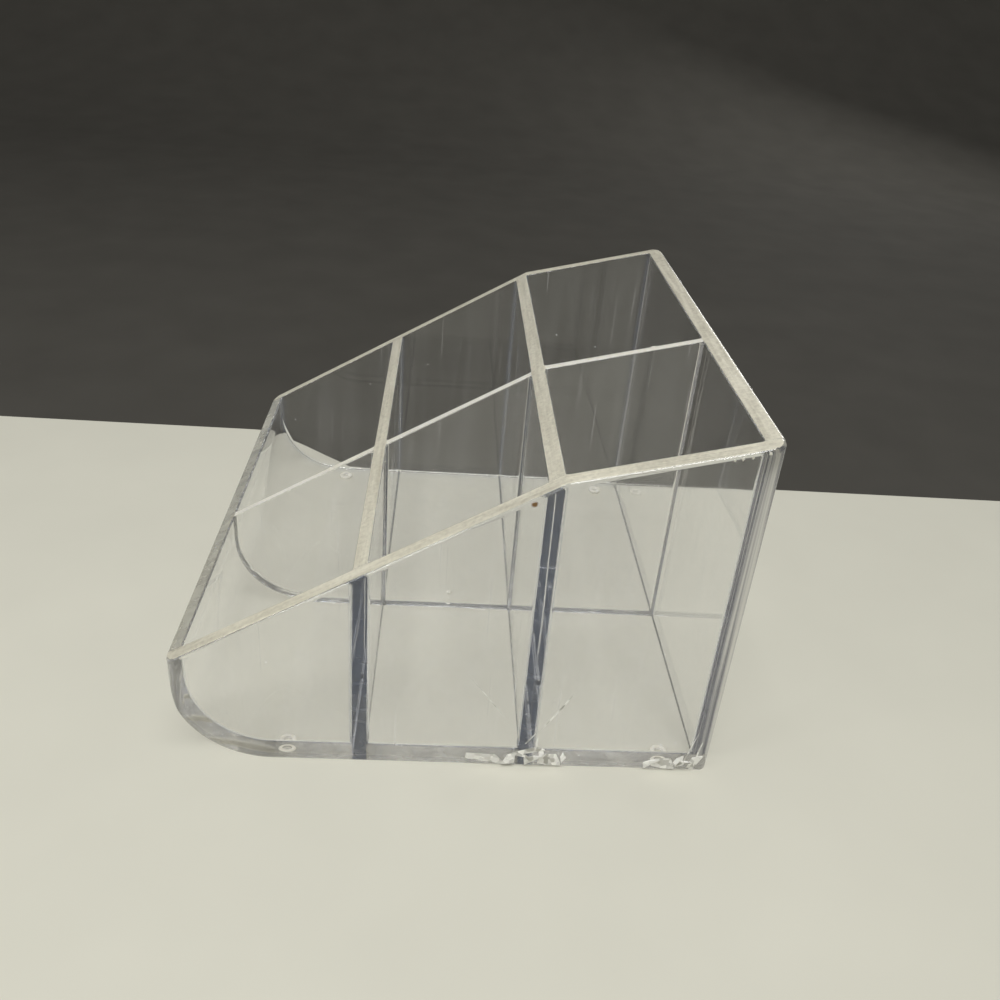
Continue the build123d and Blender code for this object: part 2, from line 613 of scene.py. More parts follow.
def add_sheet(context, name, node, axis, rim_axis, slices, own, cuts, first_cap_lines=(), last_cap_lines=()):
    """Puts a sheet in the scene that stands for a node: a loft along one axis, with its rim along another.

    Its faces are cut where other pieces meet it, along planes given as (axis, places) pairs and, on its end
    caps, along lines from one point of the outline to another. What faces another piece is then marked as
    welded, for which the function own tells which points belong to the sheet itself. The easings of the rim
    are polished.
    """
    sizes = context.scene.organizer_sizes
    sheet, rings = loft(axis, slices)
    for line in first_cap_lines:
        split_cap(rings[0], slices[0][0], line)
    for line in last_cap_lines:
        split_cap(rings[-1], slices[-1][0], line)
    bmesh.ops.recalc_face_normals(sheet, faces=sheet.faces)
    for cut_axis, places in cuts:
        cut_across(sheet, cut_axis, places)
    bmesh.ops.remove_doubles(sheet, verts=sheet.verts, dist=merge_distance)
    bmesh.ops.dissolve_degenerate(sheet, edges=sheet.edges, dist=merge_distance)
    bmesh.ops.triangulate(sheet, faces=[face for face in sheet.faces if len(face.verts) > 4])
    for face in sheet.faces:
        lean = face.normal.angle(rim_normal(face.calc_center_median().y))
        if face.material_index in (satin, bright, buffed) and lean > easing_lean:
            face.material_index = polished
    mark_welded(sheet, sizes, own)
    mesh = plain_mesh(sheet, name)
    along_rim = [corner.co if rim_axis == "X" else corner.co.yxz for corner in mesh.vertices]
    note(mesh, "grain", "FLOAT_VECTOR", along_rim)
    add_piece(context, name, mesh, sheet_materials(context), [node])


def add_node(tree, kind, inputs=None, **settings):
    """Adds a node with its settings.

    An input takes a value, a socket that is linked to it, or a node, whose first output is linked. A colour
    is given as red, green and blue.
    """
    node = tree.nodes.new(kind)
    for setting, value in settings.items():
        setattr(node, setting, value)
    for name, value in (inputs or {}).items():
        socket = node.inputs[name]
        if isinstance(value, bpy.types.Node):
            value = next(output for output in value.outputs if output.enabled)
        if isinstance(value, bpy.types.NodeSocket):
            tree.links.new(value, socket)
        elif socket.type == "RGBA":
            socket.default_value = (*value, 1)
        else:
            socket.default_value = value
    return node


def new_tree(name, inputs):
    """A geometry tree with named inputs besides its geometry."""
    tree = bpy.data.node_groups.new(name, "GeometryNodeTree")
    tree.interface.new_socket("Geometry", in_out="INPUT", socket_type="NodeSocketGeometry")
    for socket, kind in inputs.items():
        tree.interface.new_socket(socket, in_out="INPUT", socket_type=kind)
    tree.interface.new_socket("Geometry", in_out="OUTPUT", socket_type="NodeSocketGeometry")
    return tree, add_node(tree, "NodeGroupInput").outputs


def grown(context, name, start, tree, shape, values):
    """Plain mesh that a geometry tree makes of a starting mesh, a shape and the values of other inputs."""
    pattern = bpy.data.objects.new(f"{name}_shape", shape)
    context.collection.objects.link(pattern)
    seedling = bpy.data.objects.new(name, start)
    modifier = seedling.modifiers.new(name, "NODES")
    modifier.node_group = tree
    given = {"Shape": pattern, **values}
    for socket in tree.interface.items_tree:
        if socket.in_out == "INPUT" and socket.name in given:
            modifier[socket.identifier] = given[socket.name]
    context.collection.objects.link(seedling)
    evaluated = seedling.evaluated_get(context.evaluated_depsgraph_get())
    mesh = bpy.data.meshes.new_from_object(evaluated)
    bpy.data.objects.remove(seedling)
    bpy.data.objects.remove(pattern)
    return mesh


def stamp_tree():
    """Geometry tree that sets a shape at each point, turned and sized as the point says.

    Faces of the shape that are noted as rim get the second material.
    """
    inputs = {
        "Shape": "NodeSocketObject",
        "Material": "NodeSocketMaterial",
        "Rim material": "NodeSocketMaterial",
    }
    tree, given = new_tree("Shapes on points", inputs)
    shape = add_node(tree, "GeometryNodeObjectInfo", {"Object": given["Shape"]}).outputs["Geometry"]
    turn = add_node(tree, "GeometryNodeInputNamedAttribute", {"Name": "turn"}, data_type="FLOAT_VECTOR")
    size = add_node(tree, "GeometryNodeInputNamedAttribute", {"Name": "size"}, data_type="FLOAT_VECTOR")
    rim = add_node(tree, "GeometryNodeInputNamedAttribute", {"Name": "rim"}, data_type="BOOLEAN")
    turned = add_node(tree, "FunctionNodeEulerToRotation", {"Euler": turn})
    shapes = add_node(
        tree,
        "GeometryNodeInstanceOnPoints",
        {"Points": given["Geometry"], "Instance": shape, "Rotation": turned, "Scale": size},
    )
    real = add_node(tree, "GeometryNodeRealizeInstances", {"Geometry": shapes})
    body = add_node(tree, "GeometryNodeSetMaterial", {"Geometry": real, "Material": given["Material"]})
    finished = add_node(
        tree,
        "GeometryNodeSetMaterial",
        {"Geometry": body, "Selection": rim, "Material": given["Rim material"]},
    )
    add_node(tree, "NodeGroupOutput", {"Geometry": finished})
    return tree


def stamped(context, name, shape, places, material, rim_material):
    """Mesh of a shape that is set at several places, each given as a point, a turn in radians and a size."""
    start = bpy.data.meshes.new(name)
    start.from_pydata([point for point, turn, size in places], [], [])
    note(start, "turn", "FLOAT_VECTOR", [turn for point, turn, size in places])
    note(start, "size", "FLOAT_VECTOR", [size for point, turn, size in places])
    shape.materials.append(material)
    if rim_material != material:
        shape.materials.append(rim_material)
    values = {"Material": material, "Rim material": rim_material}
    return grown(context, name, start, stamp_tree(), shape, values)


def new_material(name, build, **values):
    """The material of this name, made once. The function build adds its nodes and returns the last one."""
    if name not in bpy.data.materials:
        material = bpy.data.materials.new(name)
        material.use_nodes = True
        tree = material.node_tree
        tree.nodes.clear()
        add_node(tree, "ShaderNodeOutputMaterial", {"Surface": build(tree, **values)})
    return bpy.data.materials[name]


def per_mm(spacing):
    """Texture scale whose pattern repeats about once in this many millimetres."""
    return 1000 / spacing


def wiping_streaks(tree, place, haze_range):
    """Upright streaks of haze that a wiping cloth leaves."""
    scale = [per_mm(step) for step in wipe_spacing]
    upright = add_node(tree, "ShaderNodeMapping", {"Vector": place, "Scale": scale})
    streaks = add_node(tree, "ShaderNodeTexNoise", {"Vector": upright, "Scale": 1.0, "Detail": 5.0})
    return add_node(
        tree,
        "ShaderNodeMapRange",
        {
            "Value": streaks,
            "From Min": 0.4,
            "From Max": 0.75,
            "To Min": haze_range[0],
            "To Max": haze_range[1],
        },
    )


def hairline_scratches(tree, place):
    """A few long, slanted scratches."""
    scale = [per_mm(step) for step in hairline_spacing]
    slanted = add_node(
        tree,
        "ShaderNodeMapping",
        {"Vector": place, "Rotation": hairline_turn, "Scale": scale},
    )
    hairlines = add_node(tree, "ShaderNodeTexNoise", {"Vector": slanted, "Scale": 1.0, "Detail": 0.0})
    return add_node(
        tree,
        "ShaderNodeMapRange",
        {"Value": hairlines, "From Min": 0.8, "From Max": 0.84, "To Min": 0.0, "To Max": 0.15},
    )


def dust_specks(tree, place):
    """Specks of dust, in about one of five cells."""
    cells = add_node(tree, "ShaderNodeTexVoronoi", {"Vector": place, "Scale": per_mm(dust_spacing)})
    speck = add_node(
        tree,
        "ShaderNodeMapRange",
        {"Value": cells, "From Min": 0.03, "From Max": 0.05, "To Min": 0.7, "To Max": 0.0},
    )
    chance = add_node(tree, "ShaderNodeSeparateColor", {"Color": cells.outputs["Color"]}).outputs["Red"]
    chosen = add_node(tree, "ShaderNodeMath", {0: chance, 1: 0.8}, operation="GREATER_THAN")
    return add_node(tree, "ShaderNodeMath", {0: speck, 1: chosen}, operation="MULTIPLY")


def powder_speck(tree, place):
    """The ragged speck of powder on the right side panel."""
    warped = add_node(
        tree,
        "ShaderNodeTexNoise",
        {"Vector": place, "Scale": per_mm(powder_spacing), "Detail": 2.0},
    )
    ragged = add_node(
        tree,
        "ShaderNodeVectorMath",
        {0: warped.outputs["Color"], "Scale": powder_wander},
        operation="SCALE",
    )
    shifted = add_node(tree, "ShaderNodeVectorMath", {0: place, 1: ragged}, operation="ADD")
    distance = add_node(tree, "ShaderNodeVectorMath", {0: shifted, 1: powder_place}, operation="DISTANCE")
    return add_node(
        tree,
        "ShaderNodeMapRange",
        {"Value": distance, "From Min": powder_core, "From Max": powder_edge, "To Min": 1.0, "To Max": 0.0},
    )


def clear_acrylic(tree, colours, sheet_tint, blur_range, haze_range):
    """Nodes of cast acrylic sheet, polished or dulled by the ranges for the blur of its smears and its haze.

    It is clear and almost colourless. Long, faint waves bend what is seen through it, wiping leaves streaks
    and smears with a little haze, and a few hairline scratches and specks of dust catch the light. Lamps
    shine straight through.
    """
    place = add_node(tree, "ShaderNodeTexCoord").outputs["Object"]
    waves = add_node(
        tree,
        "ShaderNodeTexNoise",
        {"Vector": place, "Scale": per_mm(wave_spacing), "Detail": 1.0},
    )
    bump = add_node(tree, "ShaderNodeBump", {"Height": waves, "Strength": 0.25, "Distance": wave_height})
    smears = add_node(
        tree,
        "ShaderNodeTexNoise",
        {"Vector": place, "Scale": per_mm(smear_spacing), "Detail": 4.0},
    )
    blur = add_node(
        tree,
        "ShaderNodeMapRange",
        {
            "Value": smears,
            "From Min": 0.45,
            "From Max": 0.75,
            "To Min": blur_range[0],
            "To Max": blur_range[1],
        },
    )
    powder = powder_speck(tree, place)
    tint = add_node(
        tree,
        "ShaderNodeMix",
        {"Factor": powder, "A": sheet_tint, "B": colours.powder},
        data_type="RGBA",
    )
    marks = wiping_streaks(tree, place, haze_range)
    for mark in (hairline_scratches(tree, place), dust_specks(tree, place), powder):
        marks = add_node(tree, "ShaderNodeMath", {0: marks, 1: mark}, operation="ADD")
    clarity = add_node(tree, "ShaderNodeMath", {0: 1.0, 1: marks}, operation="SUBTRACT", use_clamp=True)
    surface = add_node(
        tree,
        "ShaderNodeBsdfPrincipled",
        {
            "Base Color": tint,
            "IOR": acrylic_ior,
            "Roughness": blur,
            "Transmission Weight": clarity,
            "Normal": bump,
        },
    )
    ray = add_node(tree, "ShaderNodeLightPath").outputs
    lighting = add_node(
        tree,
        "ShaderNodeMath",
        {0: ray["Is Shadow Ray"], 1: ray["Is Diffuse Ray"]},
        operation="MAXIMUM",
    )
    shade = add_node(tree, "ShaderNodeBsdfTransparent", {"Color": colours.shade})
    return add_node(tree, "ShaderNodeMixShader", {"Fac": lighting, 1: surface, 2: shade})


def polished_acrylic(colours):
    """Cast acrylic, polished: the faces of all sheets."""
    return new_material(
        "Cast acrylic, polished",
        clear_acrylic,
        colours=colours,
        sheet_tint=colours.acrylic,
        blur_range=(0.0, 0.05),
        haze_range=(0.0, 0.025),
    )


def scuffed_acrylic(colours):
    """Cast acrylic, scuffed underside: dulled by sliding over tables, it scatters light into the floor."""
    return new_material(
        "Cast acrylic, scuffed underside",
        clear_acrylic,
        colours=colours,
        sheet_tint=colours.acrylic,
        blur_range=(0.05, 0.2),
        haze_range=(0.02, 0.06),
    )


def buffed_acrylic(colours):
    """Cast acrylic, buffed front edge: half clear, so the dark inside of the sheet greys it."""
    return new_material(
        "Cast acrylic, buffed edge",
        clear_acrylic,
        colours=colours,
        sheet_tint=colours.buffed,
        blur_range=(0.15, 0.3),
        haze_range=(0.28, 0.45),
    )


def satin_acrylic(tree, dark, light, inside):
    """Nodes of a sanded face in a dark and a light tone, and in a third where it is seen from inside, which
    on the rims is a painted dark reflection.

    The grit leaves a satin, cream-white band with long, faint streaks along the rim and a fine grain of
    lighter and darker spots. It lets some light in, so it looks darker where the acrylic below it is dark.
    """
    along = add_node(tree, "ShaderNodeAttribute", attribute_name="grain").outputs["Vector"]
    grain = add_node(
        tree,
        "ShaderNodeTexNoise",
        {"Vector": along, "Scale": per_mm(grit_spacing), "Detail": 3.0, "Roughness": 0.6},
    )
    scale = [per_mm(step) for step in stroke_spacing]
    drawn = add_node(tree, "ShaderNodeMapping", {"Vector": along, "Scale": scale})
    strokes = add_node(tree, "ShaderNodeTexNoise", {"Vector": drawn, "Scale": 1.0, "Detail": 3.0})
    wear = add_node(tree, "ShaderNodeMath", {0: grain, 1: strokes}, operation="ADD")
    spots = add_node(tree, "ShaderNodeMapRange", {"Value": wear, "From Min": 0.7, "From Max": 1.25})
    tone = add_node(tree, "ShaderNodeMix", {"Factor": spots, "A": dark, "B": light}, data_type="RGBA")
    # Seen from inside the sheet, the face takes the inside tone, which on the rims is a painted dark
    # reflection
    from_inside = add_node(tree, "ShaderNodeNewGeometry").outputs["Backfacing"]
    shown = add_node(
        tree,
        "ShaderNodeMix",
        {"Factor": from_inside, "A": tone, "B": inside},
        data_type="RGBA",
    )
    bump = add_node(tree, "ShaderNodeBump", {"Height": wear, "Strength": 0.3, "Distance": grit_height})
    return add_node(
        tree,
        "ShaderNodeBsdfPrincipled",
        {
            "Base Color": shown,
            "IOR": acrylic_ior,
            "Roughness": 0.3,
            "Transmission Weight": 0.35,
            "Normal": bump,
        },
    )


def sanded_edge(colours):
    """Cast acrylic, sanded edge: the rims, painted dark where they are seen from inside the sheet, a painted
    reflection of the dark that they mirror there.
    """
    return new_material(
        "Cast acrylic, sanded edge",
        satin_acrylic,
        dark=colours.rim_dark,
        light=colours.rim_light,
        inside=colours.rim_inside_painted_reflection,
    )


def painted_highlight_edge(colours):
    """Cast acrylic, bright sanded edge: the rim of the centre divider, painted lighter than the others, which
    is a painted highlight.
    """
    return new_material(
        "Cast acrylic, bright sanded edge",
        satin_acrylic,
        dark=colours.rim_light,
        light=colours.white_satin,
        inside=colours.rim_inside_painted_reflection,
    )


def satin_ring(colours):
    """Cast acrylic, satin ring: the rings of the feet and the burrs, pale from both sides."""
    return new_material(
        "Cast acrylic, satin ring",
        satin_acrylic,
        dark=colours.rim_light,
        light=colours.white_satin,
        inside=colours.white_satin,
    )


def crazed_facets(tree, colours):
    """Nodes of acrylic full of fine cracks, white in small facets with grey ones between: the white is partly
    painted glint and the grey is painted shade.
    """
    place = add_node(tree, "ShaderNodeTexCoord").outputs["Object"]
    facets = add_node(tree, "ShaderNodeTexVoronoi", {"Vector": place, "Scale": per_mm(facet_spacing)})
    glint = add_node(tree, "ShaderNodeSeparateColor", {"Color": facets.outputs["Color"]}).outputs
    # Each facet is picked at random to take painted shade or the white of crushed acrylic with painted glints
    painted_glint_share = add_node(tree, "ShaderNodeMapRange", {"Value": glint["Red"], "From Min": 0.0, "From Max": 0.4})
    tone = add_node(
        tree,
        "ShaderNodeMix",
        {"Factor": painted_glint_share, "A": colours.crazed_painted_shade, "B": colours.crazed},
        data_type="RGBA",
    )
    clarity = add_node(tree, "ShaderNodeMapRange", {"Value": glint["Blue"], "To Min": 0.0, "To Max": 0.35})
    bump = add_node(
        tree,
        "ShaderNodeBump",
        {"Height": glint["Green"], "Strength": 0.8, "Distance": facet_height},
    )
    return add_node(
        tree,
        "ShaderNodeBsdfPrincipled",
        {
            "Base Color": tone,
            "IOR": acrylic_ior,
            "Roughness": 0.25,
            "Transmission Weight": clarity,
            "Normal": bump,
        },
    )


def crazed_acrylic(colours):
    """Cast acrylic, crazed: what a knock leaves in the sheet."""
    return new_material("Cast acrylic, crazed", crazed_facets, colours=colours)


def clear_joint(tree):
    """Node of a joint that all light goes through unbent."""
    return add_node(tree, "ShaderNodeBsdfTransparent", {"Color": (1, 1, 1)})


def veiled_joint(tree, dark, light, spacing, tone_range, veil_range):
    """Nodes of a joint with fine bubbles, which veil what is seen through it in two tones.

    The tones and the strength of the veil change at a spacing in millimetres along X, Y and Z. The range of
    tones tells where in the noise the dark one ends and the light one begins.
    """
    place = add_node(tree, "ShaderNodeTexCoord").outputs["Object"]
    scale = [per_mm(step) for step in spacing]
    spread = add_node(tree, "ShaderNodeMapping", {"Vector": place, "Scale": scale})
    bubbles = add_node(tree, "ShaderNodeTexNoise", {"Vector": spread, "Scale": 1.0, "Detail": 3.0})
    veil = add_node(
        tree,
        "ShaderNodeMapRange",
        {
            "Value": bubbles,
            "From Min": 0.3,
            "From Max": 0.7,
            "To Min": veil_range[0],
            "To Max": veil_range[1],
        },
    )
    # Painted light and painted shade: the dark and light tones stand for bubbles that look away from and
    # towards the light, for less and more light coming lengthwise, and for the refracted streaks in the rear
    # corners
    tone = add_node(
        tree,
        "ShaderNodeMapRange",
        {"Value": bubbles, "From Min": tone_range[0], "From Max": tone_range[1]},
    )
    tint = add_node(tree, "ShaderNodeMix", {"Factor": tone, "A": dark, "B": light}, data_type="RGBA")
    haze = add_node(tree, "ShaderNodeBsdfDiffuse", {"Color": tint})
    return add_node(tree, "ShaderNodeMixShader", {"Fac": veil, 1: clear_joint(tree), 2: haze})


def welded_joint(colours):
    """Cast acrylic, solvent-welded joint: two sheets become one, and the faces between them vanish."""
    return new_material("Cast acrylic, solvent-welded joint", clear_joint)


def hazy_joint(colours):
    """Cast acrylic, hazy welded joint: the edge of the floor shows grey through the right side panel."""
    return new_material(
        "Cast acrylic, hazy welded joint",
        veiled_joint,
        dark=colours.haze_painted_shade,
        light=colours.haze,
        spacing=bubble_spacing,
        tone_range=bubble_tones,
        veil_range=(0.16, 0.22),
    )


def blue_joint(colours):
    """Cast acrylic, blue-edged welded joint: a sheet seen lengthwise looks dark and a little blue."""
    return new_material(
        "Cast acrylic, blue-edged welded joint",
        veiled_joint,
        dark=colours.long_way,
        light=colours.long_way_light,
        spacing=bubble_spacing,
        tone_range=bubble_tones,
        veil_range=(0.022, 0.03),
    )


def streaked_joint(colours):
    """Cast acrylic, streaked welded joint: painted dark and light upright streaks in the standing corners at
    the rear, the painted shade and light of what the rounded corners refract.
    """
    return new_material(
        "Cast acrylic, streaked welded joint",
        veiled_joint,
        dark=colours.cement,
        light=colours.corner_streak_painted_light,
        spacing=corner_streak_spacing,
        tone_range=corner_streak_tones,
        veil_range=(0.45, 0.55),
    )


def milky_joint(colours):
    """Cast acrylic, milky welded joint: the nose of the centre divider shows as a pale line in the bend."""
    return new_material(
        "Cast acrylic, milky welded joint",
        veiled_joint,
        dark=colours.haze_painted_shade,
        light=colours.haze,
        spacing=bubble_spacing,
        tone_range=bubble_tones,
        veil_range=(0.24, 0.32),
    )


def sheet_materials(context):
    """The finishes of a sheet, in the order of its material indices."""
    finishes = (
        polished_acrylic,
        sanded_edge,
        welded_joint,
        scuffed_acrylic,
        hazy_joint,
        buffed_acrylic,
        blue_joint,
        streaked_joint,
        painted_highlight_edge,
        milky_joint,
    )
    return [finish(context.scene.organizer_colours) for finish in finishes]


def side_outline(sizes, corner_cut, rim_cut, base_cut, inner_cut):
    """Outline of a side panel in depth and height, cut back at ends, rim, base and the rim's inner edge."""
    front_edge = front + corner_cut
    rear_edge = rear - corner_cut
    lip = (front_edge, rim_height(front_edge) - rim_cut)
    knee = (shoulder, rim_height(shoulder) - rim_cut)
    back = (rear_edge, rim_height(rear_edge) - rim_cut)
    heel = (rear_edge, base + base_cut)
    bend = [(max(across, front_edge), up) for across, up in bend_outside(sizes, base_cut)]
    lip_round = eased(bend[-1], lip, knee, sizes.outer_ease)
    back_round = eased(knee, back, heel, sizes.outer_ease)
    rim = []
    for place, open_rim in rim_places(row_runs, sizes.fillet):
        place = clamped(place, lip_round[-1][0], back_round[0][0])
        rim.append((place, rim_height(place) - rim_cut - open_rim * inner_cut))
    rear_wall = [back_round[-1], (rear_edge, floor_top + sizes.fillet), (rear_edge, floor_top)]
    outline = tagged(lip_round + rim + back_round[:-1], satin) + tagged(rear_wall, polished)
    return outline + tagged([heel], scuffed) + tagged(bend, polished)


class ORGANIZER_OT_side_panels(bpy.types.Operator):
    """Two side panels with satin rims and rounded standing corners"""

    bl_idname = "organizer.side_panels"
    bl_label = "Side panels"

    def execute(self, context):
        sizes = context.scene.organizer_sizes
        inner_face = inner_right + sizes.bond_line
        thickness = outer_right - inner_face
        floor_line = [(front_inner, rim_height(front_inner))] + bend_inside(sizes) + [(rear, floor_top)]
        cap_lines = (floor_line, fillet_line(sizes, rear))
        cuts = [("Y", row_cuts(sizes))]
        for side_name, side in (("left", -1), ("right", 1)):
            slices = []
            for depth, cut in quarter_round(sizes.inner_ease, ease_steps):
                slices.append((side * (inner_face + depth), side_outline(sizes, 0, 0, 0, cut)))
            for depth, corner_cut in reversed(quarter_round(sizes.corner_radius, corner_steps)):
                edge_cut = cut_at(depth, sizes.outer_ease)
                place = inner_face + thickness - depth
                slices.append((side * place, side_outline(sizes, corner_cut, edge_cut, edge_cut, 0)))
            name = f"{side_name}_side_sheet"
            node = f"{side_name}_side_panel"
            add_sheet(context, name, node, "X", "Y", slices, in_side_panel, cuts, cap_lines)
        return {"FINISHED"}


def front_outline(sizes, inner_ease):
    """Outline of the sheet that is bent into front wall and floor, in depth and height."""
    outside = bend_outside(sizes)
    inside = bend_inside(sizes)
    lip = (front, rim_height(front))
    inner_lip = (front_inner, rim_height(front_inner))
    lip_round = eased(outside[-1], lip, inner_lip, sizes.outer_ease)
    inner_round = eased(lip, inner_lip, inside[0], inner_ease)
    outline = tagged(lip_round + inner_round[:-1], buffed)
    outline += tagged(inner_round[-1:] + inside + [(rear, floor_top)], polished)
    return outline + tagged([(rear, base)], scuffed) + tagged(outside, polished)


class ORGANIZER_OT_front_floor(bpy.types.Operator):
    """Front wall, bend and floor in one bent sheet"""

    bl_idname = "organizer.front_floor"
    bl_label = "Front wall and floor"

    def execute(self, context):
        sizes = context.scene.organizer_sizes
        end = sheet_end(sizes)
        slices = []
        for place, open_rim in rim_places(column_runs, sizes.fillet):
            inner_ease = sizes.inner_ease if open_rim else sizes.bond_line
            slices.append((clamped(place, -end, end), front_outline(sizes, inner_ease)))
        cuts = [("Y", row_cuts(sizes))]
        add_sheet(context, "front_floor_sheet", "front_floor_panel", "X", "X", slices, at_rim, cuts)
        return {"FINISHED"}


def add_standing_sheet(context, name, node, front_face, rear_face, open_rear=False, slot=()):
    """A sheet that stands on the floor between the side panels, with its top on the rim.

    Other sheets join its front face, and also its rear face unless that lies open. A slot from the floor up
    is given as its points, from left to right.
    """
    sizes = context.scene.organizer_sizes
    end = sheet_end(sizes)
    bottom = floor_top + sizes.bond_line
    below = [(-end, bottom), *slot, (end, bottom)]
    rear_ease = sizes.outer_ease if open_rear else sizes.inner_ease
    steps = [(front_face + depth, cut, False) for depth, cut in quarter_round(sizes.inner_ease, ease_steps)]
    for depth, cut in reversed(quarter_round(rear_ease, ease_steps)):
        steps.append((rear_face - depth, cut, open_rear))
    slices = []
    for place, cut, open_face in steps:
        top = []
        for across, open_rim in rim_places(column_runs, sizes.fillet)[::-1]:
            height = rim_height(place) - cut * max(open_rim, open_face)
            top.append((clamped(across, -end, end), height))
        slices.append((place, tagged(top[:-1], satin) + tagged(top[-1:] + below, polished)))
    cuts = [("X", column_cuts(sizes)), ("Z", [floor_top + sizes.fillet])]
    add_sheet(context, name, node, "Y", "X", slices, at_rim, cuts)


class ORGANIZER_OT_back_panel(bpy.types.Operator):
    """Back panel, standing on the floor"""

    bl_idname = "organizer.back_panel"
    bl_label = "Back panel"

    def execute(self, context):
        add_standing_sheet(context, "back_sheet", "back_panel", rear_inner, rear, open_rear=True)
        return {"FINISHED"}


class ORGANIZER_OT_cross_dividers(bpy.types.Operator):
    """Two cross dividers, slotted from the floor up"""

    bl_idname = "organizer.cross_dividers"
    bl_label = "Cross dividers"

    def execute(self, context):
        sizes = context.scene.organizer_sizes
        bottom = floor_top + sizes.bond_line
        left = centre_low.x - sizes.bond_line
        right = centre_high.x + sizes.bond_line
        for cross_name, (low, high) in zip(("front", "rear"), cross_boxes):
            lap = lap_height(low, high, sizes.lap_share)
            slot = [(left, bottom), (left, lap), (right, lap), (right, bottom)]
            name = f"{cross_name}_cross_sheet"
            add_standing_sheet(context, name, f"{cross_name}_cross_divider", low.y, high.y, slot=slot)
        return {"FINISHED"}


def centre_outline(sizes, inner_cut):
    """Outline of the centre divider in depth and height, slotted from the rim down at each crossing."""
    laps = [lap_height(low, high, sizes.lap_share) + sizes.bond_line for low, high in cross_boxes]
    outline = []
    for number, (start, end) in enumerate(row_runs):
        start += sizes.bond_line
        end -= sizes.bond_line
        if number > 0:
            outline.append((start, laps[number - 1], polished))
        run = []
        for place, open_rim in rim_places([(start, end)], sizes.fillet):
            run.append((place, rim_height(place) - open_rim * inner_cut))
        # The rim of the centre divider gets the painted highlight of the bright finish
        outline += tagged(run[:-1], bright) + tagged(run[-1:], polished)
        if number < len(laps):
            outline.append((end, laps[number], polished))
    tail = rear_inner - sizes.bond_line
    ends = [(tail, floor_top + sizes.fillet), (tail, floor_top + sizes.bond_line)]
    return outline + tagged(ends + bend_inside(sizes, sizes.bond_line)[::-1], polished)


class ORGANIZER_OT_centre_divider(bpy.types.Operator):
    """Lengthwise divider, slotted from the rim down"""

    bl_idname = "organizer.centre_divider"
    bl_label = "Centre divider"

    def execute(self, context):
        sizes = context.scene.organizer_sizes
        rounds = quarter_round(sizes.inner_ease, ease_steps)
        steps = [(centre_low.x + depth, cut) for depth, cut in rounds]
        steps += [(centre_high.x - depth, cut) for depth, cut in reversed(rounds)]
        slices = [(place, centre_outline(sizes, cut)) for place, cut in steps]
        cap_lines = (fillet_line(sizes, rear_inner),)
        cuts = [("Y", row_cuts(sizes))]
        name = "centre_sheet"
        add_sheet(context, name, "centre_divider", "X", "Y", slices, at_rim, cuts, cap_lines, cap_lines)
        return {"FINISHED"}


def fillet_paths(sizes):
    """Paths of the inner corners of all compartments, each with the direction of one leg of its fillet.

    A path runs so that the first leg, the other leg and the path itself lie as X, Y and Z do.
    """
    radius = sizes.fillet
    right, rearward = Vector((1, 0, 0)), Vector((0, 1, 0))
    paths = []
    for left_wall, right_wall in column_runs:
        for row, (near, far) in enumerate(row_runs):
            trail = [(near + radius, floor_top), (far - radius, floor_top)]
            if row == 0:
                lip = (front_inner, rim_height(front_inner) - sizes.inner_ease)
                trail = [lip] + bend_inside(sizes) + trail[1:]
            paths.append(([(left_wall, across, up) for across, up in reversed(trail)], right))
            paths.append(([(right_wall, across, up) for across, up in trail], -right))
            corners = [(left_wall, far, right, far - radius), (right_wall, far, -rearward, far - radius)]
            start, end = left_wall + radius, right_wall - radius
            paths.append(([(end, far, floor_top), (start, far, floor_top)], -rearward))
            if row > 0:
                paths.append(([(start, near, floor_top), (end, near, floor_top)], rearward))
                corners += [(left_wall, near, rearward, near), (right_wall, near, -right, near)]
            for across, depth, leg, lowest in corners:
                top = rim_height(lowest) - sizes.inner_ease
                paths.append(([(across, depth, top), (across, depth, floor_top + radius)], leg))
    return paths


def fillet_section(sizes):
    """Outline of a fillet of unit radius: its corner and its arc, kept off the walls by the bond line."""
    gap = sizes.bond_line / sizes.fillet
    outline = [(gap, gap, 0)]
    outline += [(across + gap, up + gap, 0) for across, up in arc((1, 1), 1, 270, 180, fillet_steps)]
    edges = [(at, (at + 1) % len(outline)) for at in range(len(outline))]
    section = bpy.data.meshes.new("fillet_section")
    section.from_pydata(outline, edges, [])
    return section


def fillet_tree():
    """Geometry tree that draws a section along paths, whose points are noted with path number and leg."""
    inputs = {
        "Fillet radius": "NodeSocketFloat",
        "Shape": "NodeSocketObject",
        "Material": "NodeSocketMaterial",
    }
    tree, given = new_tree("Fillets along paths", inputs)
    number = add_node(tree, "GeometryNodeInputNamedAttribute", {"Name": "path"}, data_type="INT")
    leg = add_node(tree, "GeometryNodeInputNamedAttribute", {"Name": "leg"}, data_type="FLOAT_VECTOR")
    order = add_node(tree, "GeometryNodeInputIndex")
    points = add_node(tree, "GeometryNodeMeshToPoints", {"Mesh": given["Geometry"]})
    curves = add_node(
        tree,
        "GeometryNodePointsToCurves",
        {"Points": points, "Curve Group ID": number, "Weight": order},
    )
    turned = add_node(tree, "GeometryNodeSetCurveNormal", {"Curve": curves, "Normal": leg}, mode="FREE")
    section = add_node(tree, "GeometryNodeObjectInfo", {"Object": given["Shape"]}).outputs["Geometry"]
    profile = add_node(tree, "GeometryNodeMeshToCurve", {"Mesh": section})
    fillets = add_node(
        tree,
        "GeometryNodeCurveToMesh",
        {"Curve": turned, "Profile Curve": profile, "Scale": given["Fillet radius"], "Fill Caps": True},
    )
    real = add_node(tree, "GeometryNodeRealizeInstances", {"Geometry": fillets})
    finished = add_node(tree, "GeometryNodeSetMaterial", {"Geometry": real, "Material": given["Material"]})
    add_node(tree, "NodeGroupOutput", {"Geometry": finished})
    return tree


